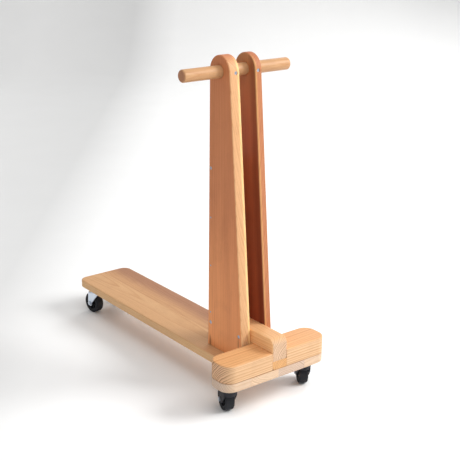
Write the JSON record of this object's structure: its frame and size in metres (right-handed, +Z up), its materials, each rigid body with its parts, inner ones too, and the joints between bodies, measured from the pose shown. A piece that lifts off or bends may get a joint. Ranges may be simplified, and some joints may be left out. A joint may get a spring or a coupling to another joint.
{
  "type": "rolling stand",
  "caption": "Wooden rolling stand: a T-shaped base on swivel castors carries two tapered uprights with a round dowel handle through their tops.",
  "frame": {"origin": "on the floor under the middle of the bounding box", "axes": "+X to the right along the handle, +Y from the cross beam to the plank's tail, +Z up"},
  "size_m": [0.266, 0.684, 0.7014],
  "materials": {
    "pale_wood": "satin",
    "tan_wood": "satin",
    "red_wood": "satin",
    "handle_wood": "satin",
    "screw_steel": "satin",
    "zinc": "satin",
    "black_nylon": "matte",
    "tyre_rubber": "matte"
  },
  "bodies": {
    "stand": {"plank_left_stave": "pale_wood", "plank_right_stave": "tan_wood", "left_foot_board": "pale_wood", "right_foot_board": "tan_wood", "cross_beam_left": "pale_wood", "cross_beam_right": "pale_wood", "spine_riser": "tan_wood", "spine_block": "pale_wood", "left_upright": "red_wood", "right_upright": "red_wood", "rear_spacer": "tan_wood", "handle": "handle_wood", "beam_screws": "screw_steel", "spine_screws": "screw_steel", "foot_screws": "screw_steel", "spacer_nails": "screw_steel", "spacer_screws": "screw_steel", "handle_lock_screws": "screw_steel", "front_left_plate": "zinc", "front_left_plate_screws": "screw_steel", "front_left_balls": "screw_steel", "front_left_kingpin": "screw_steel", "front_right_plate": "zinc", "front_right_plate_screws": "screw_steel", "front_right_balls": "screw_steel", "front_right_kingpin": "screw_steel", "rear_left_plate": "zinc", "rear_left_plate_screws": "screw_steel", "rear_left_balls": "screw_steel", "rear_left_kingpin": "screw_steel", "rear_right_plate": "zinc", "rear_right_plate_screws": "screw_steel", "rear_right_balls": "screw_steel", "rear_right_kingpin": "screw_steel"},
    "front_left_fork_body": {"front_left_fork": "black_nylon", "front_left_axle_bolt": "screw_steel", "front_left_axle_nut": "screw_steel"},
    "front_left_wheel_body": {"front_left_hub": "black_nylon", "front_left_tyre": "tyre_rubber"},
    "front_right_fork_body": {"front_right_fork": "black_nylon", "front_right_axle_bolt": "screw_steel", "front_right_axle_nut": "screw_steel"},
    "front_right_wheel_body": {"front_right_hub": "black_nylon", "front_right_tyre": "tyre_rubber"},
    "rear_left_fork_body": {"rear_left_fork": "zinc", "rear_left_axle_bolt": "screw_steel", "rear_left_axle_nut": "screw_steel"},
    "rear_left_wheel_body": {"rear_left_hub": "black_nylon", "rear_left_tyre": "tyre_rubber"},
    "rear_right_fork_body": {"rear_right_fork": "zinc", "rear_right_axle_bolt": "screw_steel", "rear_right_axle_nut": "screw_steel"},
    "rear_right_wheel_body": {"rear_right_hub": "black_nylon", "rear_right_tyre": "tyre_rubber"}
  },
  "joints": [
    {"name": "front_left_swivel", "type": "hinge", "parent": "stand", "child": "front_left_fork_body", "pos_m": [-0.1, -0.307, 0.0526], "axis": [0, 0, 1], "continuous": true},
    {"name": "front_left_roll", "type": "hinge", "parent": "front_left_fork_body", "child": "front_left_wheel_body", "pos_m": [-0.09532, -0.2917, 0.025], "axis": [0.9563, -0.2924, 0], "continuous": true},
    {"name": "front_right_swivel", "type": "hinge", "parent": "stand", "child": "front_right_fork_body", "pos_m": [0.1, -0.307, 0.0526], "axis": [0, 0, 1], "continuous": true},
    {"name": "front_right_roll", "type": "hinge", "parent": "front_right_fork_body", "child": "front_right_wheel_body", "pos_m": [0.10848, -0.29343, 0.025], "axis": [0.848, -0.5299, 0], "continuous": true},
    {"name": "rear_left_swivel", "type": "hinge", "parent": "stand", "child": "rear_left_fork_body", "pos_m": [-0.047, 0.29, 0.0526], "axis": [0, 0, 1], "continuous": true},
    {"name": "rear_left_roll", "type": "hinge", "parent": "rear_left_fork_body", "child": "rear_left_wheel_body", "pos_m": [-0.04867, 0.30591, 0.025], "axis": [0.9945, 0.1045, 0], "continuous": true},
    {"name": "rear_right_swivel", "type": "hinge", "parent": "stand", "child": "rear_right_fork_body", "pos_m": [0.047, 0.29, 0.0526], "axis": [0, 0, 1], "continuous": true},
    {"name": "rear_right_roll", "type": "hinge", "parent": "rear_right_fork_body", "child": "rear_right_wheel_body", "pos_m": [0.04533, 0.30591, 0.025], "axis": [0.9945, 0.1045, 0], "continuous": true}
  ]
}
